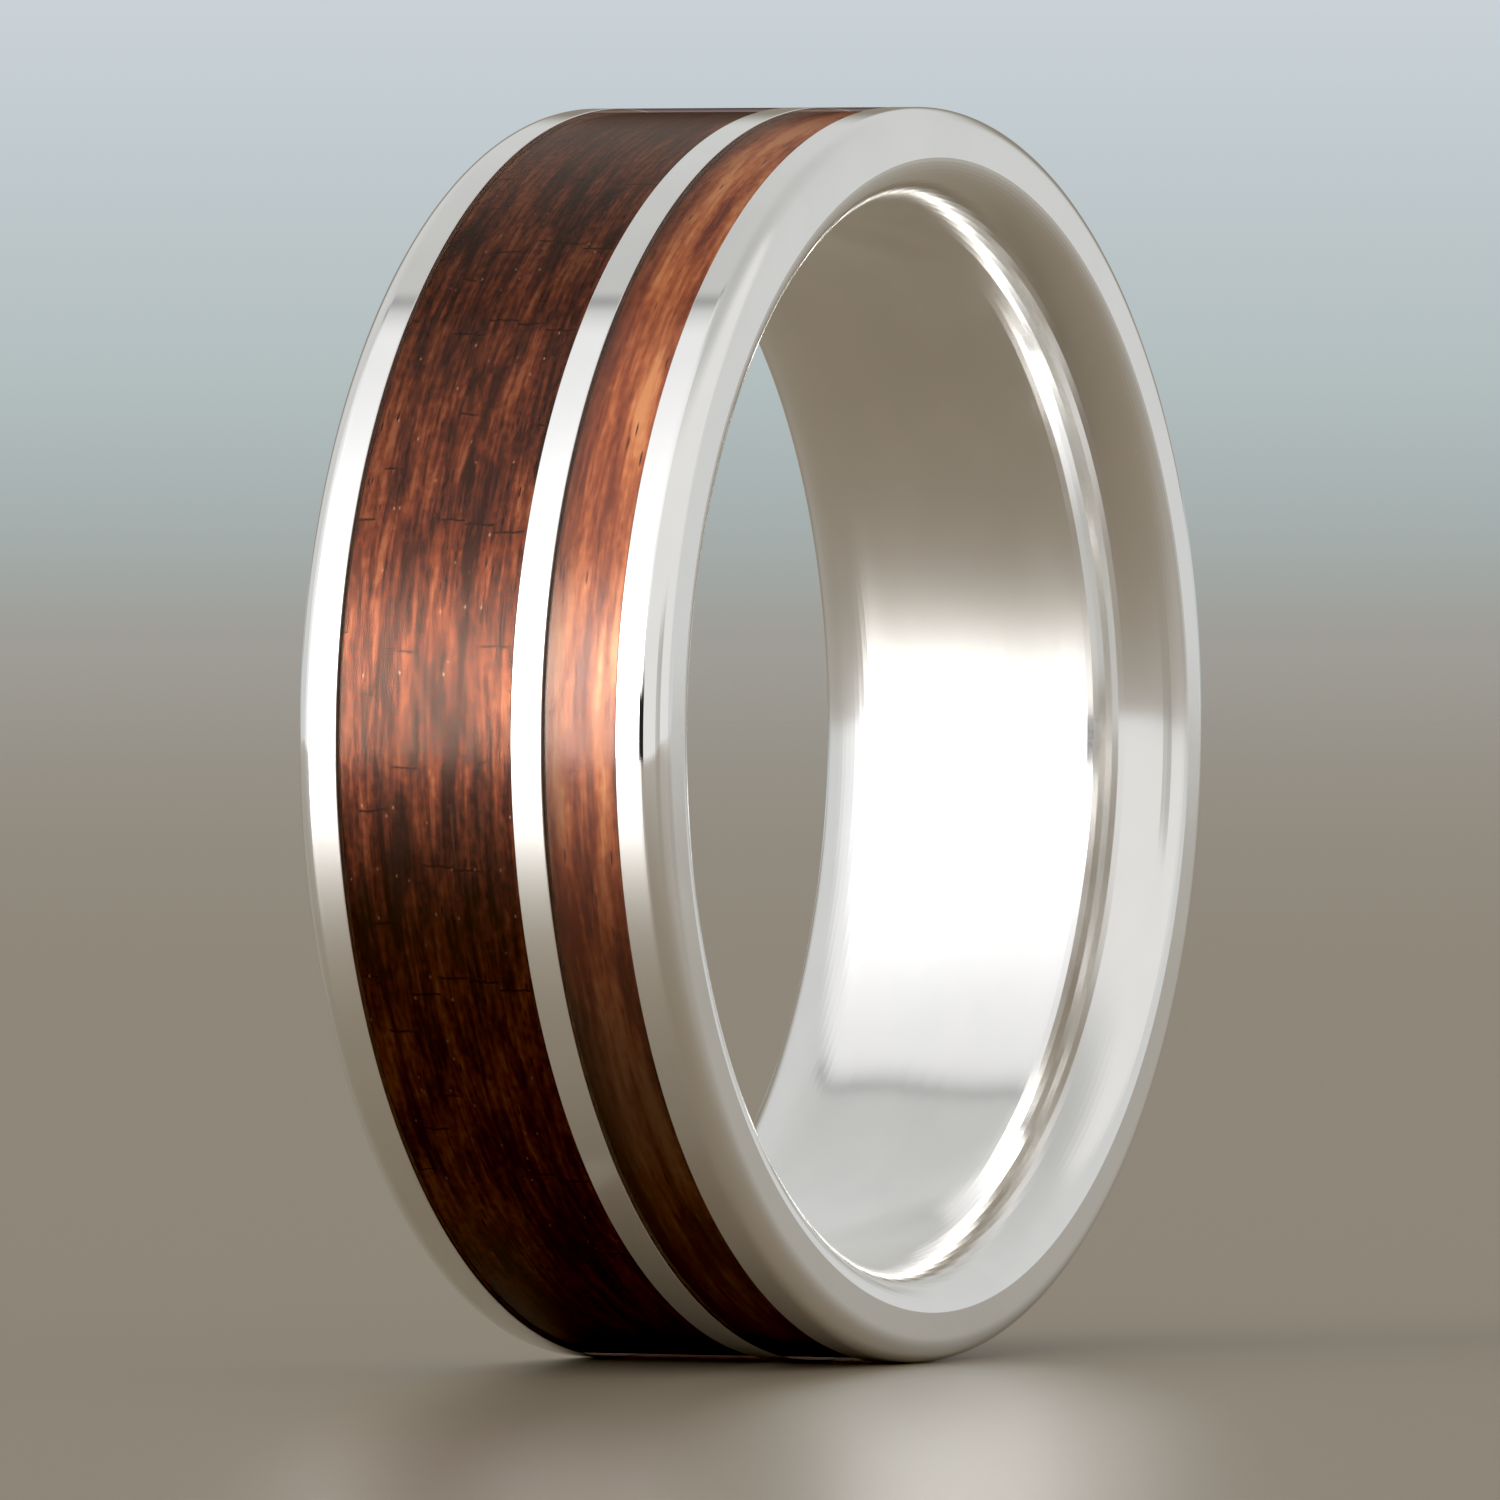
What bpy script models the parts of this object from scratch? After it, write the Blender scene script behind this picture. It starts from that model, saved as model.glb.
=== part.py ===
"""Comfort-fit wedding band with two flush wood inlays.

The band stands on its edge. Its axis lies along Y, +Z is up, and the origin is the
centre of the finger hole, halfway across the width. The narrow inlay is nearer -Y.
Each inlay is a bent strip of wood in a turned channel, bedded in adhesive and
sealed under a clear coat that is level with the metal. Run in Blender 4.5.
"""

import math

import bmesh
import bpy

# Driving dimensions, in metres.
BAND_WIDTH = 0.00800
OUTER_RADIUS = 0.01235
BORE_RADIUS = 0.010285

# Across the outside, from the -Y side to the +Y side.
SHOULDER_WIDTH = 0.00047
RIM_WIDTH = 0.00050
NARROW_INLAY_WIDTH = 0.00161
DIVIDER_WIDTH = 0.00065
WIDE_INLAY_WIDTH = BAND_WIDTH - 2 * (SHOULDER_WIDTH + RIM_WIDTH) - NARROW_INLAY_WIDTH - DIVIDER_WIDTH

# Rounded edges and the comfort-fit bore.
SHOULDER_DEPTH = 0.00049
COMFORT_EDGE_DEPTH = 0.00104
COMFORT_EDGE_LENGTH = 0.00190
BORE_CROWN = 0.00003

# Layers in each channel, from the floor outwards.
CHANNEL_DEPTH = 0.00105
ADHESIVE_FLOOR = 0.00005
ADHESIVE_SIDE = 0.00003
COAT_THICKNESS = 0.00008
BOND_GAP = 0.00001

# Facets.
TURN_STEPS = 64
SHOULDER_STEPS = 4
COMFORT_STEPS = 6
SMOOTH_ANGLE = math.radians(35)
MERGE_DISTANCE = 0.000001

HALF_WIDTH = BAND_WIDTH / 2
SIDE_OUTER_RADIUS = OUTER_RADIUS - SHOULDER_DEPTH
BORE_END_RADIUS = BORE_RADIUS + BORE_CROWN
SIDE_INNER_RADIUS = BORE_END_RADIUS + COMFORT_EDGE_DEPTH
CHANNEL_FLOOR_RADIUS = OUTER_RADIUS - CHANNEL_DEPTH

# Heights across the band, measured from its middle towards -Y.
NARROW_TOP = HALF_WIDTH - SHOULDER_WIDTH - RIM_WIDTH
NARROW_BOTTOM = NARROW_TOP - NARROW_INLAY_WIDTH
WIDE_TOP = NARROW_BOTTOM - DIVIDER_WIDTH
WIDE_BOTTOM = WIDE_TOP - WIDE_INLAY_WIDTH

# Colours, roughness and metallic value.
SILVER = ((0.86, 0.85, 0.83), 0.08, 1.0)
DARK_WOOD = ((0.14, 0.035, 0.018), 0.35, 0.0)
LIGHT_WOOD = ((0.36, 0.11, 0.04), 0.35, 0.0)
ADHESIVE = ((0.45, 0.30, 0.16), 0.30, 0.0)
CLEAR_COAT = ((0.85, 0.82, 0.78), 0.05, 0.0)


def clear_scene():
    """Removes whatever the scene held."""
    for old in list(bpy.data.objects):
        bpy.data.objects.remove(old, do_unlink=True)


def new_collection(name):
    """A collection linked to the scene."""
    collection = bpy.data.collections.new(name)
    bpy.context.scene.collection.children.link(collection)
    return collection


def new_material(name, look):
    """A Principled material from a (colour, roughness, metallic) look."""
    colour, roughness, metallic = look
    material = bpy.data.materials.new(name)
    material.use_nodes = True
    shader = material.node_tree.nodes["Principled BSDF"]
    shader.inputs["Base Color"].default_value = (*colour, 1.0)
    shader.inputs["Roughness"].default_value = roughness
    shader.inputs["Metallic"].default_value = metallic
    material.diffuse_color = (*colour, 1.0)
    return material


def arc(centre, depth, length, start, end, steps):
    """Points of an elliptical arc. At 0 degrees it is furthest out, at 90 highest."""
    radius, height = centre
    points = []
    for step in range(steps + 1):
        angle = math.radians(start + (end - start) * step / steps)
        points.append((radius + depth * math.cos(angle), height + length * math.sin(angle)))
    return points


def shoulder(side):
    """The outer rounded edge on one side (+1 or -1), from its highest outline point down."""
    centre = (SIDE_OUTER_RADIUS, side * (HALF_WIDTH - SHOULDER_WIDTH))
    start, end = (90, 0) if side > 0 else (0, -90)
    return arc(centre, SHOULDER_DEPTH, SHOULDER_WIDTH, start, end, SHOULDER_STEPS)


def comfort_edge(side):
    """The long inner rounding on one side, from its lowest outline point up."""
    centre = (SIDE_INNER_RADIUS, side * (HALF_WIDTH - COMFORT_EDGE_LENGTH))
    start, end = (180, 90) if side > 0 else (270, 180)
    return arc(centre, COMFORT_EDGE_DEPTH, COMFORT_EDGE_LENGTH, start, end, COMFORT_STEPS)


def channel(top, bottom):
    """A square channel cut into the outside between two heights."""
    return [
        (OUTER_RADIUS, top),
        (CHANNEL_FLOOR_RADIUS, top),
        (CHANNEL_FLOOR_RADIUS, bottom),
        (OUTER_RADIUS, bottom),
    ]


def band_outline():
    """The metal's section: down the outside, then back up through the bore."""
    outline = shoulder(+1)
    outline += channel(NARROW_TOP, NARROW_BOTTOM)
    outline += channel(WIDE_TOP, WIDE_BOTTOM)
    outline += shoulder(-1)
    outline += comfort_edge(-1)
    outline.append((BORE_RADIUS, 0.0))
    outline += comfort_edge(+1)
    return outline


def rectangle(inner, outer, top, bottom):
    """A rectangular section between two radii and two heights."""
    return [(outer, top), (outer, bottom), (inner, bottom), (inner, top)]


def adhesive_outline(top, bottom):
    """A trough-shaped section: the film under and beside one wood strip."""
    top -= BOND_GAP
    bottom += BOND_GAP
    base = CHANNEL_FLOOR_RADIUS + BOND_GAP
    floor = base + ADHESIVE_FLOOR
    lip = OUTER_RADIUS - COAT_THICKNESS - BOND_GAP
    return [
        (lip, top),
        (lip, top - ADHESIVE_SIDE),
        (floor, top - ADHESIVE_SIDE),
        (floor, bottom + ADHESIVE_SIDE),
        (lip, bottom + ADHESIVE_SIDE),
        (lip, bottom),
        (base, bottom),
        (base, top),
    ]


def wood_outline(top, bottom):
    """The wood strip's section, inside its adhesive."""
    inset = 2 * BOND_GAP + ADHESIVE_SIDE
    inner = CHANNEL_FLOOR_RADIUS + 2 * BOND_GAP + ADHESIVE_FLOOR
    outer = OUTER_RADIUS - COAT_THICKNESS - BOND_GAP
    return rectangle(inner, outer, top - inset, bottom + inset)


def coat_outline(top, bottom):
    """The clear coat's section, level with the rims."""
    inner = OUTER_RADIUS - COAT_THICKNESS
    return rectangle(inner, OUTER_RADIUS, top - BOND_GAP, bottom + BOND_GAP)


def outline_mesh(name, outline):
    """A closed loop of edges in the XZ plane from (radius, height) points."""
    mesh = bpy.data.meshes.new(name)
    loop = bmesh.new()
    corners = [loop.verts.new((radius, 0.0, height)) for radius, height in outline]
    for index, corner in enumerate(corners):
        loop.edges.new((corner, corners[(index + 1) % len(corners)]))
    loop.to_mesh(mesh)
    loop.free()
    return mesh


def turned_ring(name, outline, look, collection, parent):
    """One ring turned about the band's axis, as its own object."""
    ring = bpy.data.objects.new(name, outline_mesh(name, outline))
    collection.objects.link(ring)
    ring.parent = parent
    screw = ring.modifiers.new("Turn", "SCREW")
    screw.axis = "Z"
    screw.angle = 2 * math.pi
    screw.steps = TURN_STEPS
    screw.render_steps = TURN_STEPS
    screw.use_merge_vertices = True
    screw.merge_threshold = MERGE_DISTANCE
    shade_turned(ring)
    ring.data.materials.append(new_material(name, look))
    return ring


def shade_turned(ring):
    """Applies the turn, and shades the ring smooth between its sharp edges."""
    evaluated = ring.evaluated_get(bpy.context.evaluated_depsgraph_get())
    ring.data = bpy.data.meshes.new_from_object(evaluated)
    ring.modifiers.clear()
    ring.data.shade_smooth()
    ring.data.set_sharp_from_angle(angle=SMOOTH_ANGLE)


def main():
    clear_scene()
    collection = new_collection("wedding_band")
    axis = bpy.data.objects.new("band_axis", None)
    axis.rotation_euler = (math.pi / 2, 0.0, 0.0)
    collection.objects.link(axis)

    turned_ring("band_body", band_outline(), SILVER, collection, axis)
    inlays = [
        ("narrow", NARROW_TOP, NARROW_BOTTOM, LIGHT_WOOD),
        ("wide", WIDE_TOP, WIDE_BOTTOM, DARK_WOOD),
    ]
    for name, top, bottom, wood in inlays:
        layers = [
            (f"{name}_adhesive_bed", adhesive_outline(top, bottom), ADHESIVE),
            (f"{name}_wood_inlay", wood_outline(top, bottom), wood),
            (f"{name}_clear_coat", coat_outline(top, bottom), CLEAR_COAT),
        ]
        for node, outline, look in layers:
            turned_ring(node, outline, look, collection, axis)


main()
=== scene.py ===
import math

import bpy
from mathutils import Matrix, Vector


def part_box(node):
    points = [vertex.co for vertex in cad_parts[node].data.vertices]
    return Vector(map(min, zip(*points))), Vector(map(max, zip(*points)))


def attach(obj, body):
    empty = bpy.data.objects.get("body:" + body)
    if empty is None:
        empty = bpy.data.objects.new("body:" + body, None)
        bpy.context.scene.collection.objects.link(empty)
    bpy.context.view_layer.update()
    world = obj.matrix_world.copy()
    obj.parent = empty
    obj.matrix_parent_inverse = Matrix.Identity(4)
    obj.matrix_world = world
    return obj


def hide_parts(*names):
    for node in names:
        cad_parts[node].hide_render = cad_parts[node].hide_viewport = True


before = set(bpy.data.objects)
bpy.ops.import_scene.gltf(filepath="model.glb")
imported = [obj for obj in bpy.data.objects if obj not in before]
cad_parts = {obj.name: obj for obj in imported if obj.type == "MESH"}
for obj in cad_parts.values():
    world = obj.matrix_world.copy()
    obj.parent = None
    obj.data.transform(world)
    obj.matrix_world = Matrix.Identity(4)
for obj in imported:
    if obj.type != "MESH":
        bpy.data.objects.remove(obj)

# Looks of the wedding band: smooth metal, wood under a clear coat, studio light and camera.
# The band's axis lies along Y. Lengths are in metres unless a name ends in _MM.

MM = 0.001
HALF_TURN = math.pi

# Rounded edges of the band's section.
SHOULDER_WIDTH = 0.47 * MM
SHOULDER_DEPTH = 0.49 * MM
COMFORT_EDGE_DEPTH = 1.04 * MM
COMFORT_EDGE_LENGTH = 1.90 * MM
BORE_CROWN = 0.03 * MM
CHANNEL_DEPTH = 1.05 * MM
LIP_ROUND = 0.018 * MM

# Layers in a channel.
SEAM_GAP = 0.004 * MM
ADHESIVE_SIDE = 0.03 * MM
ADHESIVE_FLOOR = 0.05 * MM
COAT_THICKNESS = 0.08 * MM
COAT_SETBACK = 0.003 * MM
COAT_EDGE_ROUND = 0.02 * MM
WOOD_EDGE_ROUND = 0.02 * MM

# Mesh density.
TURN_STEPS = 512
SHOULDER_STEPS = 16
COMFORT_STEPS = 22
CROWN_STEPS = 10
SMALL_ROUND_STEPS = 4
SUPPORT = 0.004 * MM
LONG_SIDE = 8 * SUPPORT
SHARP_ANGLE = math.radians(50)

# Camera: a long lens, level with the middle of the band, from the narrow inlay's side.
CAMERA_AZIMUTH = math.radians(-63.65)
CAMERA_ELEVATION = math.radians(0.865)
CAMERA_DISTANCE_IN_RADII = 40.0
CAMERA_LENS_MM = 600.8
CAMERA_SENSOR_MM = 36.0
CAMERA_TARGET = Vector((0.0, 0.20 * MM, -0.32 * MM))

# The metal has a satin polish inside this radius and a mirror polish outside it.
SATIN_RADIUS = 11.2 * MM
SATIN_BLEND = 0.2 * MM
SATIN_ROUGHNESS = 0.09

# The clear coat: how its reflection grows at a slant, and what the layer below is tinted with.
COAT_SLANT_SHARE = 0.28
COAT_ROUGHNESS = (0.17, 0.21)
COAT_TINT = (0.99, 0.985, 0.975, 1.0)
COAT_SLANT_TINT = (0.22, 0.08, 0.04, 1.0)

# Cross-grain hairline cracks in the dark wood. Wobble is a share of a turn round the band.
# Half-widths, from dark to clear, and the shift from lane to lane are in crack spacings.
CRACK_LANE = 0.65 * MM
CRACKS_ROUND_BAND = 34.0
CRACK_WOBBLE = 0.002
CRACK_LANE_SHIFT = 7.0
CRACK_HALF_WIDTHS = (0.005, 0.016)

# Painted shade: each wood darkens towards the underside of the band, between two heights.
DARK_WOOD_PAINTED_SHADE_HEIGHTS = (-1.5 * MM, 4.0 * MM)
LIGHT_WOOD_PAINTED_SHADE_HEIGHTS = (-4.5 * MM, 4.0 * MM)

# Painted shade darkens both woods near the top too, between two heights, and all these heights
# waver.
TOP_PAINTED_SHADE_HEIGHTS = (8.5 * MM, 12.5 * MM)
TOP_PAINTED_SHADE = 0.65
PAINTED_SHADE_WAVER = 5.0 * MM

# The narrow strip is darker along its edge nearer the wide one. Both in metres along Y.
DARK_EDGE = (-0.15 * MM, 0.45 * MM)
DARK_EDGE_WAVER = 0.9 * MM

# The bore and its comfort edges mirror each other several times over.
MIRROR_BOUNCES = 12

# Light below this level prints black, as in a contrasty photograph.
BLACK_POINT = (0.006, 0.006, 0.006)

# The floor is a disc. It fades with distance, and ends early on the camera's side (-X).
FLOOR_RADIUS = 1.35
FLOOR_SIDES = 96
FLOOR_FADE_START = 0.25
FLOOR_FRONT = (-0.247, -0.133)
FLOOR_COLOUR = (0.31, 0.255, 0.185, 1.0)

# Bearings in the surroundings run from +X towards +Y, and start from this one.
FIRST_BEARING = -45.0


class Tree:
    """A node tree that is built from scratch, with short ways to add and join nodes."""

    def __init__(self, owner):
        owner.use_nodes = True
        self.tree = owner.node_tree
        self.tree.nodes.clear()

    def add(self, kind, inputs=None, **settings):
        """A node of that kind. An input's value is a plain value or another node's output."""
        node = self.tree.nodes.new("ShaderNode" + kind)
        for name, value in settings.items():
            setattr(node, name, value)
        for name, value in (inputs or {}).items():
            self.feed(node.inputs[name], value)
        return node

    def feed(self, socket, value):
        """Gives a socket a plain value, or joins it to an output."""
        if isinstance(value, bpy.types.NodeSocket):
            self.tree.links.new(value, socket)
        elif value is not None:
            socket.default_value = value

    def math(self, operation, first, second=None, third=None):
        """The result of one sum on numbers."""
        return self.add("Math", {0: first, 1: second, 2: third}, operation=operation).outputs[0]

    def between(self, value, low, high, start=0.0, end=1.0, smooth=True):
        """value's way from low to high, as a number from start to end."""
        kind = "SMOOTHSTEP" if smooth else "LINEAR"
        inputs = {"Value": value, "From Min": low, "From Max": high, "To Min": start, "To Max": end}
        return self.add("MapRange", inputs, interpolation_type=kind).outputs[0]

    def mix(self, factor, first, second, blend="MIX"):
        """Two colours mixed."""
        node = self.add("Mix", data_type="RGBA", blend_type=blend)
        self.feed(node.inputs[0], factor)
        self.feed(node.inputs[6], first)
        self.feed(node.inputs[7], second)
        return node.outputs[2]

    def ramp(self, value, stops):
        """A colour ramp with (place, colour) stops."""
        node = self.add("ValToRGB", {"Fac": value})
        elements = node.color_ramp.elements
        while len(elements) < len(stops):
            elements.new(1.0)
        for element, (place, colour) in zip(elements, stops):
            element.position = place
            element.color = (*colour, 1.0)
        return node.outputs["Color"]

    def noise(self, vector, detail, roughness=0.5):
        """A noise texture's value. Its size comes from the vector's own scale."""
        inputs = {"Vector": vector, "Scale": 1.0, "Detail": detail, "Roughness": roughness}
        return self.add("TexNoise", inputs).outputs[0]

    def place(self):
        """Object coordinates in metres: the band's axis lies along the second one."""
        return self.add("TexCoord").outputs["Object"]

    def axis(self, vector, index):
        """One of a vector's three numbers."""
        return self.add("SeparateXYZ", {0: vector}).outputs[index]

    def stretched(self, around, across, shift=(0.0, 0.0, 0.0)):
        """Object coordinates scaled for a pattern, in cells per mm round and across the band."""
        scale = (around / MM, across / MM, around / MM)
        inputs = {"Vector": self.place(), "Location": shift, "Scale": scale}
        return self.add("Mapping", inputs).outputs[0]


def grey(level, tint=(1.0, 1.0, 1.0)):
    """A colour as a node input, from one level and a tint."""
    return (level * tint[0], level * tint[1], level * tint[2], 1.0)


def ring_size(node):
    """A CAD ring's inner radius, outer radius, lowest Y and highest Y."""
    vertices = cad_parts[node].data.vertices
    radii = [math.hypot(v.co.x, v.co.z) for v in vertices]
    low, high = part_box(node)
    return min(radii), high.x, low.y, high.y


# ---------------------------------------------------------------- sections


def arc(centre, size, start, end, steps):
    """Points of an elliptical arc. 0 degrees points outwards, 90 degrees to +Y."""
    points = []
    for step in range(steps + 1):
        angle = math.radians(start + (end - start) * step / steps)
        points.append((centre[0] + size[0] * math.cos(angle), centre[1] + size[1] * math.sin(angle)))
    return points


def channel(outer, floor, low, high):
    """A square channel with rounded lips, from its -Y lip to its +Y lip."""
    lip = (LIP_ROUND, LIP_ROUND)
    points = arc((outer - LIP_ROUND, low - LIP_ROUND), lip, 0, 90, SMALL_ROUND_STEPS)
    points += [(floor, low), (floor, high)]
    points += arc((outer - LIP_ROUND, high + LIP_ROUND), lip, -90, 0, SMALL_ROUND_STEPS)
    return points


def crown(radius, half_length):
    """The bore between its two comfort edges, bulging slightly inwards, from +Y to -Y."""
    points = []
    for step in range(1, CROWN_STEPS):
        place = 1 - 2 * step / CROWN_STEPS
        rise = BORE_CROWN * (1 + math.cos(HALF_TURN * place)) / 2
        points.append((radius + BORE_CROWN - rise, place * half_length))
    return points


def band_outline(bore, outer, half_width, channels):
    """The metal's closed section: the outside from -Y to +Y, then back through the bore."""
    shoulder = (SHOULDER_DEPTH, SHOULDER_WIDTH)
    comfort = (COMFORT_EDGE_DEPTH, COMFORT_EDGE_LENGTH)
    shoulder_radius = outer - SHOULDER_DEPTH
    shoulder_height = half_width - SHOULDER_WIDTH
    comfort_radius = bore + BORE_CROWN + COMFORT_EDGE_DEPTH
    comfort_height = half_width - COMFORT_EDGE_LENGTH
    points = arc((shoulder_radius, -shoulder_height), shoulder, -90, 0, SHOULDER_STEPS)
    for low, high in channels:
        points += channel(outer, outer - CHANNEL_DEPTH, low, high)
    points += arc((shoulder_radius, shoulder_height), shoulder, 0, 90, SHOULDER_STEPS)
    points += arc((comfort_radius, comfort_height), comfort, 90, 180, COMFORT_STEPS)
    points += crown(bore, comfort_height)
    points += arc((comfort_radius, -comfort_height), comfort, 180, 270, COMFORT_STEPS)
    return points


def strip_outline(inner, outer, low, high, edge):
    """A rectangular section with rounded outer edges."""
    size = (edge, edge)
    points = [(inner, low)]
    points += arc((outer - edge, low + edge), size, -90, 0, SMALL_ROUND_STEPS)
    points += arc((outer - edge, high - edge), size, 0, 90, SMALL_ROUND_STEPS)
    points.append((inner, high))
    return points


def trough_outline(inner, outer, low, high):
    """The adhesive's section: a floor with a thin wall on each side."""
    floor = inner + ADHESIVE_FLOOR
    return [
        (inner, low),
        (outer, low),
        (outer, low + ADHESIVE_SIDE),
        (floor, low + ADHESIVE_SIDE),
        (floor, high - ADHESIVE_SIDE),
        (outer, high - ADHESIVE_SIDE),
        (outer, high),
        (inner, high),
    ]


def with_supports(outline):
    """The outline with a point close to both ends of each long side, which keeps it flat."""
    points = []
    for index, start in enumerate(outline):
        end = outline[(index + 1) % len(outline)]
        length = math.dist(start, end)
        points.append(start)
        if length > LONG_SIDE:
            for share in (SUPPORT / length, 1 - SUPPORT / length):
                points.append(tuple(a + (b - a) * share for a, b in zip(start, end)))
    return points


# ---------------------------------------------------------------- pieces


def turned_piece(name, outline, material, node):
    """A smooth ring turned about Y from a closed section, in a CAD node's place."""
    outline = with_supports(outline)
    count = len(outline)
    vertices = []
    for step in range(TURN_STEPS):
        angle = 2 * HALF_TURN * step / TURN_STEPS
        vertices += [(r * math.cos(angle), y, r * math.sin(angle)) for r, y in outline]
    faces = []
    for step in range(TURN_STEPS):
        here = step * count
        there = (step + 1) % TURN_STEPS * count
        for index in range(count):
            following = (index + 1) % count
            faces.append((here + index, here + following, there + following, there + index))
    mesh = bpy.data.meshes.new(name)
    mesh.from_pydata(vertices, [], faces)
    mesh.flip_normals()
    mesh.shade_smooth()
    mesh.set_sharp_from_angle(angle=SHARP_ANGLE)
    mesh.materials.append(material)
    piece = bpy.data.objects.new(name, mesh)
    bpy.context.scene.collection.objects.link(piece)
    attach(piece, "root")
    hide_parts(node)


def inlay_pieces(kind, wood, film, coat, outer):
    """The adhesive, wood strip and clear coat in one channel. Returns the channel's Y range."""
    floor, _, low, high = ring_size(f"{kind}_adhesive_bed")
    inner = floor + SEAM_GAP
    coat_base = outer - COAT_THICKNESS
    side = ADHESIVE_SIDE + SEAM_GAP
    trough = trough_outline(inner, coat_base - SEAM_GAP, low, high)
    wood_base = inner + ADHESIVE_FLOOR + SEAM_GAP
    strip = strip_outline(wood_base, coat_base - SEAM_GAP, low + side, high - side, WOOD_EDGE_ROUND)
    cover = strip_outline(coat_base, outer - COAT_SETBACK, low, high, COAT_EDGE_ROUND)
    turned_piece(f"{kind}_adhesive_film", trough, film, f"{kind}_adhesive_bed")
    turned_piece(f"{kind}_wood_strip", strip, wood, f"{kind}_wood_inlay")
    turned_piece(f"{kind}_gloss_coat", cover, coat, f"{kind}_clear_coat")
    return low - SEAM_GAP, high + SEAM_GAP


def build_band():
    """All pieces of the band."""
    bore, outer, _, high = ring_size("band_body")
    film = adhesive_material()
    pale_coat = coat_material("clear_gloss_coat", 0.060, (1.0, 0.93, 0.88, 1.0))
    amber_coat = coat_material("amber_gloss_coat", 0.036, (1.0, 0.75, 0.62, 1.0))
    narrow = inlay_pieces("narrow", light_wood_material(), film, pale_coat, outer)
    wide = inlay_pieces("wide", dark_wood_material(), film, amber_coat, outer)
    outline = band_outline(bore, outer, high, [narrow, wide])
    turned_piece("polished_band", outline, silver_material(), "band_body")


# ---------------------------------------------------------------- materials


def new_tree(name):
    """A new material and its empty node tree."""
    material = bpy.data.materials.new(name)
    return material, Tree(material)


def silver_material():
    """Mirror-polished silver with faint lines and soft smears, and a satin bore."""
    material, t = new_tree("polished_silver")
    lines = t.noise(t.stretched(0.12, 30.0), 2.0, 0.6)
    smears = t.noise(t.stretched(0.6, 0.9, (3.0, 1.0, 7.0)), 3.0, 0.5)
    rough = t.math("MULTIPLY_ADD", lines, 0.04, t.between(smears, 0.45, 0.75, 0.02, 0.06))
    spoke = t.add("VectorMath", {0: t.place(), 1: (1.0, 0.0, 1.0)}, operation="MULTIPLY")
    radius = t.add("VectorMath", {0: spoke.outputs[0]}, operation="LENGTH").outputs["Value"]
    satin_start = SATIN_RADIUS - SATIN_BLEND
    satin = t.between(radius, satin_start, SATIN_RADIUS + SATIN_BLEND, SATIN_ROUGHNESS, 0.0)
    rough = t.math("ADD", rough, satin)
    bump = t.add("Bump", {"Height": lines, "Strength": 0.01, "Distance": 0.005 * MM})
    tone = t.between(smears, 0.3, 0.7)
    colour = t.mix(tone, grey(0.94, (1.0, 0.995, 0.98)), grey(0.97, (1.0, 0.99, 0.975)))
    shader = t.add("BsdfPrincipled", {
        "Base Color": colour, "Metallic": 1.0, "Roughness": rough, "Normal": bump.outputs[0],
    })
    t.add("OutputMaterial", {"Surface": shader.outputs[0]})
    return material


def adhesive_material():
    """Dark amber adhesive, cloudy round the band."""
    material, t = new_tree("amber_adhesive")
    cloud = t.noise(t.stretched(2.0, 4.0), 2.0)
    colour = t.ramp(cloud, [(0.3, (0.05, 0.018, 0.009)), (0.7, (0.12, 0.045, 0.020))])
    shader = t.add("BsdfPrincipled", {"Base Color": colour, "Roughness": 0.4})
    t.add("OutputMaterial", {"Surface": shader.outputs[0]})
    return material


def coat_material(name, least_share, tint):
    """Clear gloss resin: a tinted reflection over what lies below.

    Straight on it reflects least_share of the light, and more at a slant, where what lies
    below turns a dark amber. Only its outer side reflects.
    """
    material, t = new_tree(name)
    waves = t.noise(t.stretched(0.7, 4.0, (5.0, 2.0, 1.0)), 2.0, 0.5)
    bump = t.add("Bump", {"Height": waves, "Strength": 0.15, "Distance": 0.02 * MM})
    rough = t.between(waves, 0.35, 0.65, *COAT_ROUGHNESS)
    facing = t.add("LayerWeight", {"Blend": 0.5}).outputs["Facing"]
    grazing = t.math("POWER", facing, 5.0)
    share = t.math("MULTIPLY_ADD", grazing, COAT_SLANT_SHARE, least_share)
    front = t.math("SUBTRACT", 1.0, t.add("NewGeometry").outputs["Backfacing"])
    slanting = t.math("POWER", facing, 8.0)
    clear = t.add("BsdfTransparent", {"Color": t.mix(slanting, COAT_TINT, COAT_SLANT_TINT)})
    gloss = t.add("BsdfAnisotropic", {"Color": tint, "Roughness": rough, "Normal": bump.outputs[0]})
    shader = t.add("MixShader", {
        "Fac": t.math("MULTIPLY", share, front), 1: clear.outputs[0], 2: gloss.outputs[0],
    })
    t.add("OutputMaterial", {"Surface": shader.outputs[0]})
    return material


def pores(t, around, across, share, shift):
    """Small grains drawn out round the band, each 0 or 1, in a share of the cells."""
    cells = t.add("TexVoronoi", {"Vector": t.stretched(around, across, shift), "Scale": 1.0})
    close = t.between(cells.outputs["Distance"], 0.12, 0.22, 1.0, 0.0)
    pick = t.add("SeparateXYZ", {0: cells.outputs["Color"]}).outputs[0]
    return t.math("MULTIPLY", close, t.math("LESS_THAN", pick, share))


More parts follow.
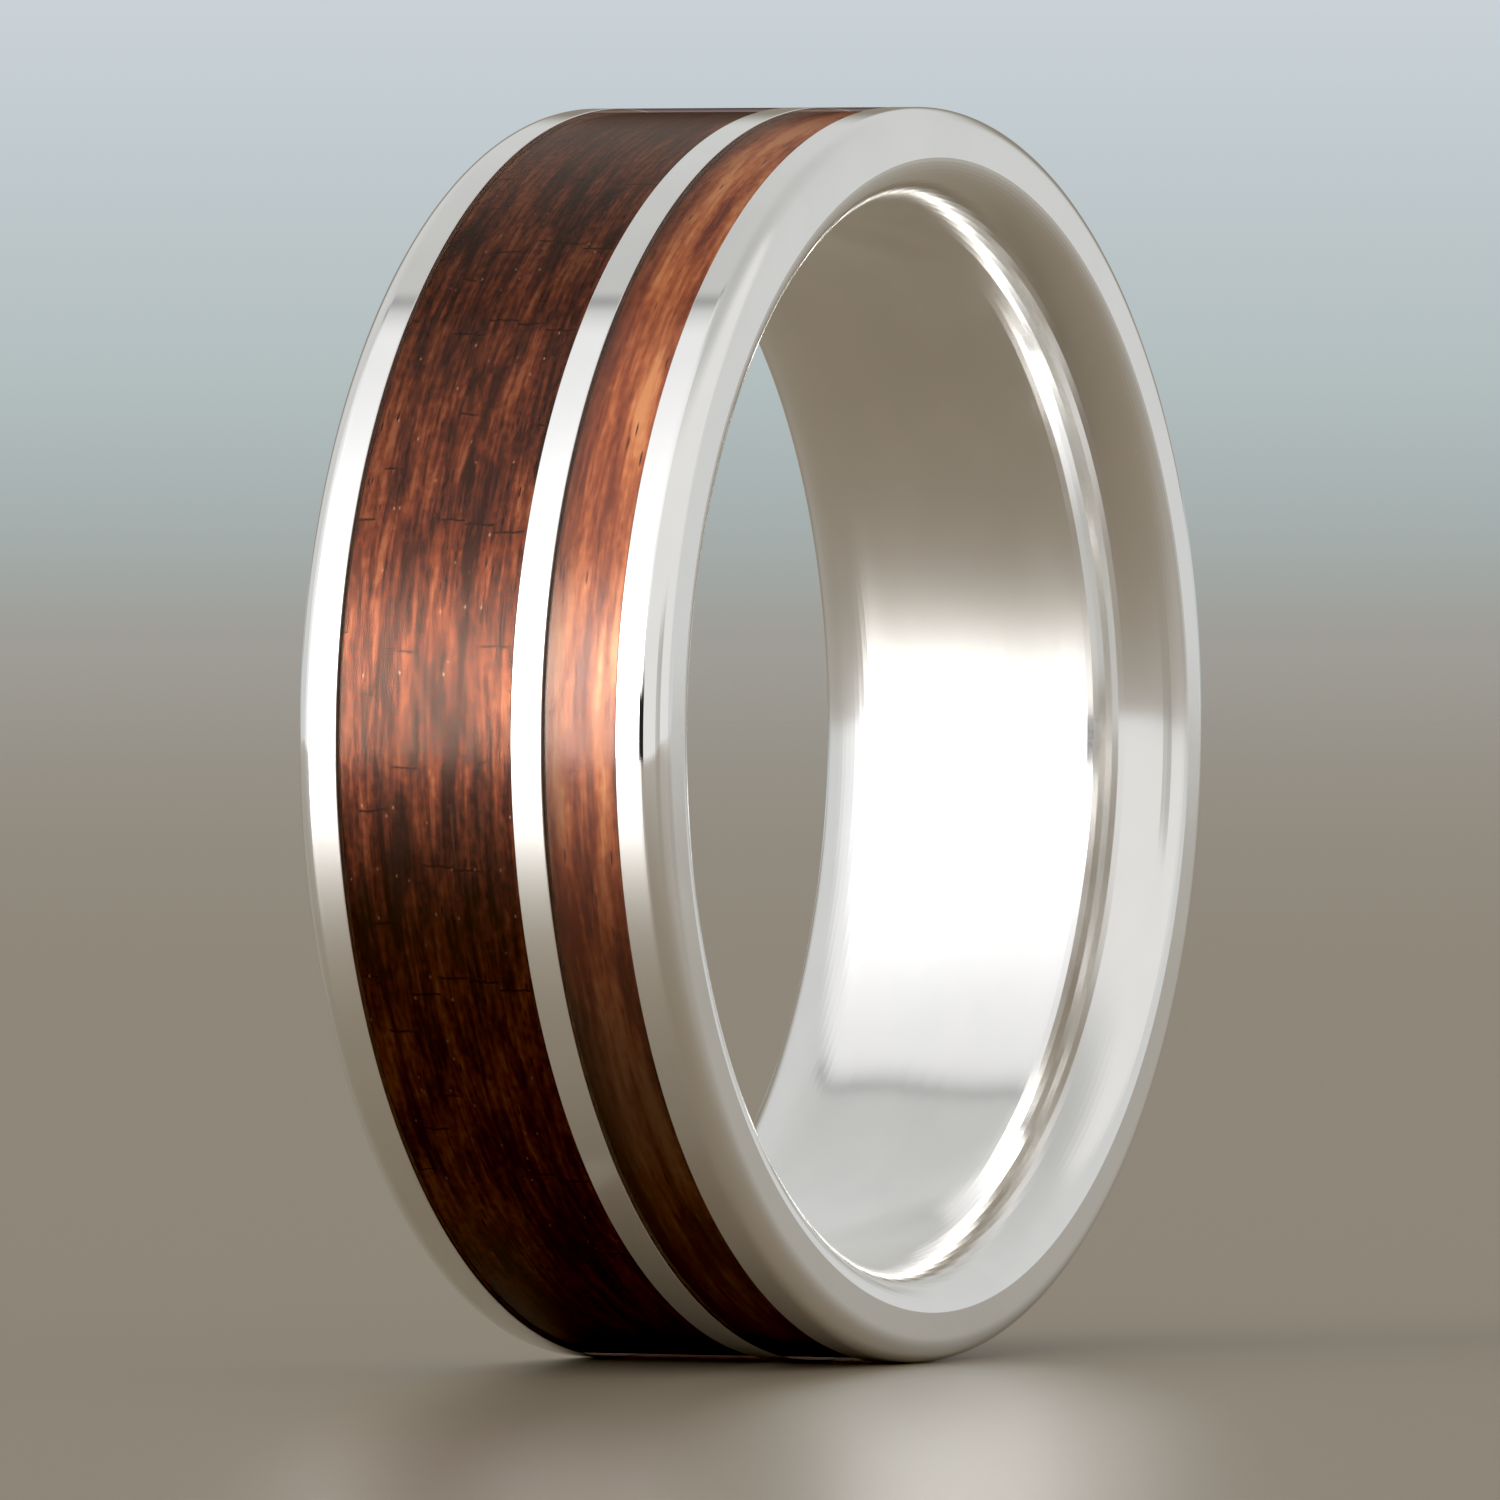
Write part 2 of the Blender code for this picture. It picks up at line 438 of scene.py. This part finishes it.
def cracks(t):
    """Short hairlines across the grain, each within one lane of the strip."""
    place = t.place()
    angle = t.math("ARCTAN2", t.axis(place, 0), t.axis(place, 2))
    wobble = t.math("MULTIPLY", t.noise(t.stretched(0.5, 3.0), 2.0), CRACK_WOBBLE)
    turn = t.math("ADD", t.math("DIVIDE", angle, 2 * HALF_TURN), wobble)
    lane = t.math("FLOOR", t.math("DIVIDE", t.axis(place, 1), CRACK_LANE))
    offset = t.add("TexWhiteNoise", {"W": lane}, noise_dimensions="1D").outputs["Value"]
    shift = t.math("MULTIPLY", offset, CRACK_LANE_SHIFT)
    steps = t.math("ADD", t.math("MULTIPLY", turn, CRACKS_ROUND_BAND), shift)
    away = t.math("ABSOLUTE", t.math("SUBTRACT", t.math("FRACT", steps), 0.5))
    line = t.between(away, *CRACK_HALF_WIDTHS, 1.0, 0.0)
    some = t.between(t.noise(t.stretched(0.5, 0.7, (9.0, 3.0, 2.0)), 1.0), 0.45, 0.51)
    return t.math("MULTIPLY", line, some)


def finish_wood(t, colour, fibres, heights, darkest, sheen):
    """Wood under resin, with a silky sheen of its own colour.

    Between heights[1] and heights[0] painted shade darkens it, until the share darkest of its colour
    is left; painted shade darkens it near the top too.
    """
    height = t.axis(t.place(), 2)
    patchy = t.noise(t.stretched(0.3, 0.6, (2.0, 8.0, 4.0)), 2.0)
    height = t.math("MULTIPLY_ADD", patchy, PAINTED_SHADE_WAVER, height)
    # Painted shade: darker towards the underside of the band, by height in the object.
    shade = t.between(height, *heights, darkest, 1.0)
    # Painted shade: darker near the top of the band too.
    shade = t.math("MULTIPLY", shade, t.between(height, *TOP_PAINTED_SHADE_HEIGHTS, 1.0, TOP_PAINTED_SHADE))
    tone = t.add("CombineXYZ", {0: shade, 1: shade, 2: shade}).outputs[0]
    bump = t.add("Bump", {"Height": fibres, "Strength": 0.3, "Distance": 0.015 * MM})
    shader = t.add("BsdfPrincipled", {
        "Base Color": t.mix(1.0, colour, tone, "MULTIPLY"), "Metallic": sheen,
        "Roughness": 0.32, "Specular IOR Level": 0.0, "Normal": bump.outputs[0],
    })
    t.add("OutputMaterial", {"Surface": shader.outputs[0]})


def dark_wood_material():
    """Dark reddish-brown wood: black patches, orange flecks, pores and cross-grain cracks."""
    material, t = new_tree("dark_figured_wood")
    broad = t.noise(t.stretched(0.30, 0.8, (1.0, 4.0, 2.0)), 2.0, 0.5)
    blocks = t.noise(t.stretched(0.55, 3.4, (7.0, 1.0, 3.0)), 2.0, 0.6)
    fibres = t.noise(t.stretched(0.70, 9.0, (2.0, 9.0, 5.0)), 2.0, 0.6)
    speck = t.noise(t.stretched(5.0, 8.0, (1.0, 6.0, 5.0)), 1.0, 0.5)
    figure = t.math("MULTIPLY_ADD", blocks, 0.60, t.math("MULTIPLY", broad, 0.40))
    figure = t.math("MULTIPLY_ADD", t.math("SUBTRACT", fibres, 0.5), 0.52, figure)
    figure = t.math("MULTIPLY_ADD", t.math("SUBTRACT", speck, 0.5), 0.28, figure)
    colour = t.ramp(figure, [
        (0.36, (0.024, 0.006, 0.004)),
        (0.44, (0.056, 0.013, 0.008)),
        (0.52, (0.112, 0.024, 0.012)),
        (0.60, (0.190, 0.045, 0.018)),
        (0.70, (0.290, 0.090, 0.040)),
    ])
    colour = t.mix(t.math("MULTIPLY", cracks(t), 0.85), colour, (0.008, 0.003, 0.002, 1.0))
    colour = t.mix(pores(t, 5.0, 9.0, 0.06, (1.0, 2.0, 3.0)), colour, (0.40, 0.22, 0.14, 1.0))
    colour = t.mix(pores(t, 1.5, 8.0, 0.35, (5.0, 1.0, 2.0)), colour, (0.014, 0.004, 0.003, 1.0))
    finish_wood(t, colour, fibres, DARK_WOOD_PAINTED_SHADE_HEIGHTS, 0.40, 0.75)
    return material


def light_wood_material():
    """Chestnut to orange-brown wood, darker along the edge nearer the wide inlay."""
    material, t = new_tree("light_chestnut_wood")
    broad = t.noise(t.stretched(0.20, 1.6, (4.0, 3.0, 8.0)), 2.0, 0.5)
    fibres = t.noise(t.stretched(0.55, 7.0, (6.0, 2.0, 1.0)), 2.0, 0.6)
    speck = t.noise(t.stretched(4.0, 8.0, (1.0, 2.0, 5.0)), 1.0, 0.5)
    figure = t.math("MULTIPLY_ADD", t.math("SUBTRACT", fibres, 0.5), 0.50, broad)
    figure = t.math("MULTIPLY_ADD", t.math("SUBTRACT", speck, 0.5), 0.20, figure)
    colour = t.ramp(figure, [
        (0.32, (0.200, 0.036, 0.012)),
        (0.43, (0.370, 0.082, 0.026)),
        (0.53, (0.590, 0.170, 0.056)),
        (0.66, (0.820, 0.330, 0.130)),
    ])
    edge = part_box("narrow_wood_inlay")[1].y
    ragged = t.math("MULTIPLY_ADD", broad, DARK_EDGE_WAVER, t.axis(t.place(), 1))
    shade = t.between(ragged, edge + DARK_EDGE[0], edge + DARK_EDGE[1])
    colour = t.mix(t.math("MULTIPLY", shade, 0.65), colour, (0.060, 0.018, 0.010, 1.0))
    colour = t.mix(pores(t, 1.0, 8.0, 0.25, (3.0, 7.0, 2.0)), colour, (0.090, 0.020, 0.010, 1.0))
    finish_wood(t, colour, fibres, LIGHT_WOOD_PAINTED_SHADE_HEIGHTS, 0.12, 0.25)
    return material


# ---------------------------------------------------------------- studio


def patch(t, azimuth, elevation, sides, heights, soft_side, soft_height):
    """A soft-edged patch of the surroundings. Every argument after t is in degrees."""
    left = t.between(azimuth, sides[0] - soft_side, sides[0] + soft_side)
    right = t.between(azimuth, sides[1] - soft_side, sides[1] + soft_side, 1.0, 0.0)
    bottom = t.between(elevation, heights[0] - 1.0, heights[0] + 1.0)
    top = t.between(elevation, heights[1] - soft_height, heights[1] + soft_height, 1.0, 0.0)
    return t.math("MULTIPLY", t.math("MULTIPLY", left, right), t.math("MULTIPLY", bottom, top))


def bearing_and_height(t):
    """The direction of each point of the surroundings, as two angles in degrees."""
    direction = t.add("SeparateXYZ", {0: t.add("TexCoord").outputs["Generated"]}).outputs
    degree = math.degrees(1.0)
    bearing = t.math("MULTIPLY", t.math("ARCTAN2", direction[1], direction[0]), degree)
    azimuth = t.math("WRAP", bearing, FIRST_BEARING + 360.0, FIRST_BEARING)
    elevation = t.math("MULTIPLY", t.math("ARCSINE", direction[2]), degree)
    return azimuth, elevation


def build_world():
    """Studio surroundings: pale walls, a bright window, a backdrop and a few soft bands."""
    world = bpy.data.worlds.new("studio")
    bpy.context.scene.world = world
    t = Tree(world)
    azimuth, elevation = bearing_and_height(t)
    colour = t.ramp(t.between(elevation, -10.0, 90.0, smooth=False), [
        (0.00, (0.24, 0.22, 0.18)),
        (0.08, (0.64, 0.65, 0.64)),
        (0.50, (0.62, 0.63, 0.62)),
        (1.00, (0.48, 0.48, 0.47)),
    ])
    backdrop = t.ramp(t.between(elevation, -1.0, 1.0, smooth=False), [
        (0.200, (0.350, 0.340, 0.310)),
        (0.325, (0.381, 0.428, 0.423)),
        (0.500, (0.456, 0.520, 0.527)),
        (0.925, (0.590, 0.645, 0.686)),
    ])
    # Each patch: its bearings, its heights, how soft its sides and its top are, its colour.
    patches = [
        ((-5.0, 58.0), (-9.0, 20.0), 10.0, 6.0, grey(0.27, (1.0, 0.90, 0.74))),
        ((-5.0, 58.0), (-9.0, 1.7), 10.0, 0.4, backdrop),
        ((175.0, 300.0), (-6.0, 60.0), 6.0, 15.0, grey(0.78, (1.0, 0.99, 0.975))),
        ((238.0, 256.0), (-6.0, 14.0), 4.0, 5.0, grey(0.48, (1.0, 1.0, 0.95))),
        ((104.0, 168.0), (-6.0, 68.0), 8.0, 8.0, grey(0.86, (1.0, 1.0, 1.01))),
        ((122.0, 168.0), (-6.0, 44.0), 5.0, 18.0, grey(1.25, (1.0, 1.0, 1.01))),
        ((132.0, 168.0), (-6.0, 20.0), 2.0, 12.0, grey(7.5, (1.0, 0.99, 0.97))),
        ((156.0, 176.0), (-6.0, 10.0), 0.8, 4.0, grey(0.02)),
        ((93.0, 98.0), (52.0, 72.0), 3.5, 6.0, grey(0.34)),
    ]
    for sides, heights, soft_side, soft_height, tone in patches:
        mask = patch(t, azimuth, elevation, sides, heights, soft_side, soft_height)
        colour = t.mix(mask, colour, tone)
    background = t.add("Background", {"Color": colour, "Strength": 1.0})
    t.add("OutputWorld", {"Surface": background.outputs[0]})


def build_floor(height):
    """A plain pale floor under the band, with soft ends."""
    mesh = bpy.data.meshes.new("floor")
    rim = [2 * HALF_TURN * step / FLOOR_SIDES for step in range(FLOOR_SIDES)]
    corners = [(FLOOR_RADIUS * math.cos(a), FLOOR_RADIUS * math.sin(a), height) for a in rim]
    mesh.from_pydata(corners, [], [tuple(range(FLOOR_SIDES))])
    floor = bpy.data.objects.new("floor", mesh)
    bpy.context.scene.collection.objects.link(floor)
    material, t = new_tree("pale_floor")
    place = t.place()
    distance = t.add("VectorMath", {0: place}, operation="LENGTH").outputs["Value"]
    solid = t.between(distance, FLOOR_FADE_START, FLOOR_RADIUS, 1.0, 0.0)
    solid = t.math("MULTIPLY", solid, t.between(t.axis(place, 0), *FLOOR_FRONT))
    shader = t.add("BsdfPrincipled", {"Base Color": FLOOR_COLOUR, "Roughness": 0.3})
    clear = t.add("BsdfTransparent")
    mixed = t.add("MixShader", {"Fac": solid, 1: clear.outputs[0], 2: shader.outputs[0]})
    t.add("OutputMaterial", {"Surface": mixed.outputs[0]})
    floor.data.materials.append(material)


def build_camera(outer):
    """The camera at the photograph's angle."""
    data = bpy.data.cameras.new("camera")
    data.lens = CAMERA_LENS_MM
    data.sensor_width = CAMERA_SENSOR_MM
    camera = bpy.data.objects.new("camera", data)
    away = Vector((
        math.sin(CAMERA_AZIMUTH) * math.cos(CAMERA_ELEVATION),
        -math.cos(CAMERA_AZIMUTH) * math.cos(CAMERA_ELEVATION),
        math.sin(CAMERA_ELEVATION),
    ))
    camera.location = CAMERA_TARGET + away * outer * CAMERA_DISTANCE_IN_RADII
    camera.rotation_euler = (-away).to_track_quat("-Z", "Y").to_euler()
    bpy.context.scene.collection.objects.link(camera)
    bpy.context.scene.camera = camera


def main():
    """The whole scene."""
    scene = bpy.context.scene
    scene.view_settings.view_transform = "Standard"
    scene.view_settings.use_curve_mapping = True
    scene.view_settings.curve_mapping.black_level = BLACK_POINT
    scene.cycles.glossy_bounces = MIRROR_BOUNCES
    build_band()
    low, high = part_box("band_body")
    build_world()
    build_floor(low.z)
    build_camera(high.x)


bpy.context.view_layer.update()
main()
